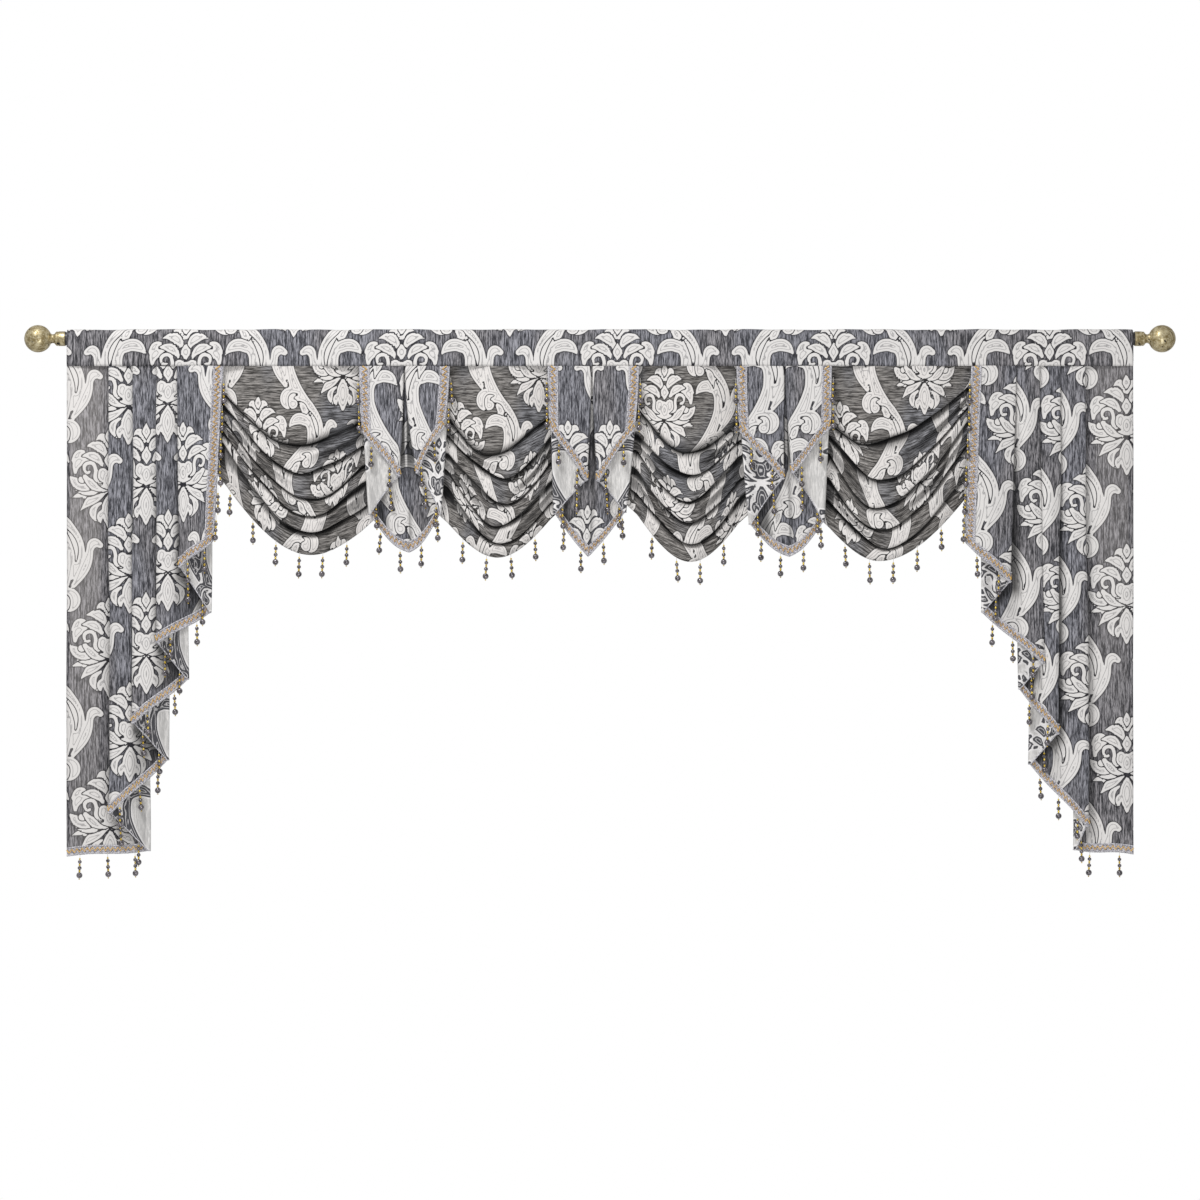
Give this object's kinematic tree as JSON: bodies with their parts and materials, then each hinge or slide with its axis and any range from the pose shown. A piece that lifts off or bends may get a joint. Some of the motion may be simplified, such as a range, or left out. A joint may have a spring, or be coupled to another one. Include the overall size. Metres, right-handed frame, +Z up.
{
  "type": "swag and tail drape on a pole",
  "caption": "Damask valance with four swags, three jabots and two long pleated tails, hung by a rod-pocket heading on a round pole with ball finials.",
  "frame": {"origin": "middle of the pole's axis", "axes": "+X along the pole to the viewer's right, +Z up, the front faces -Y"},
  "size_m": [2.692, 0.0782, 1.2888],
  "materials": {
    "damask": "woven blue-grey damask with cream motifs, soft sheen",
    "swag_damask": "the same damask turned crosswise, warmer taupe grey",
    "braid": "silver gimp braid with a gold zigzag",
    "beads": "smoky pearl beads with gold spacers",
    "antique_gold": "speckled antique gold",
    "dark_pole": "satin, nearly black"
  },
  "bodies": {
    "root": {"pole": "dark_pole", "finial_left": "antique_gold", "finial_right": "antique_gold", "heading": "damask", "tail_left": "damask", "tail_right": "damask", "jabot_1": "damask", "jabot_2": "damask", "jabot_3": "damask", "swag_1": "swag_damask", "swag_2": "swag_damask", "swag_3": "swag_damask", "swag_4": "swag_damask", "tail_fringe_left": "braid", "tail_fringe_right": "braid", "jabot_fringe_1": "braid", "jabot_fringe_2": "braid", "jabot_fringe_3": "braid", "swag_fringe_1": "beads", "swag_fringe_2": "beads", "swag_fringe_3": "beads", "swag_fringe_4": "beads"}
  },
  "joints": []
}
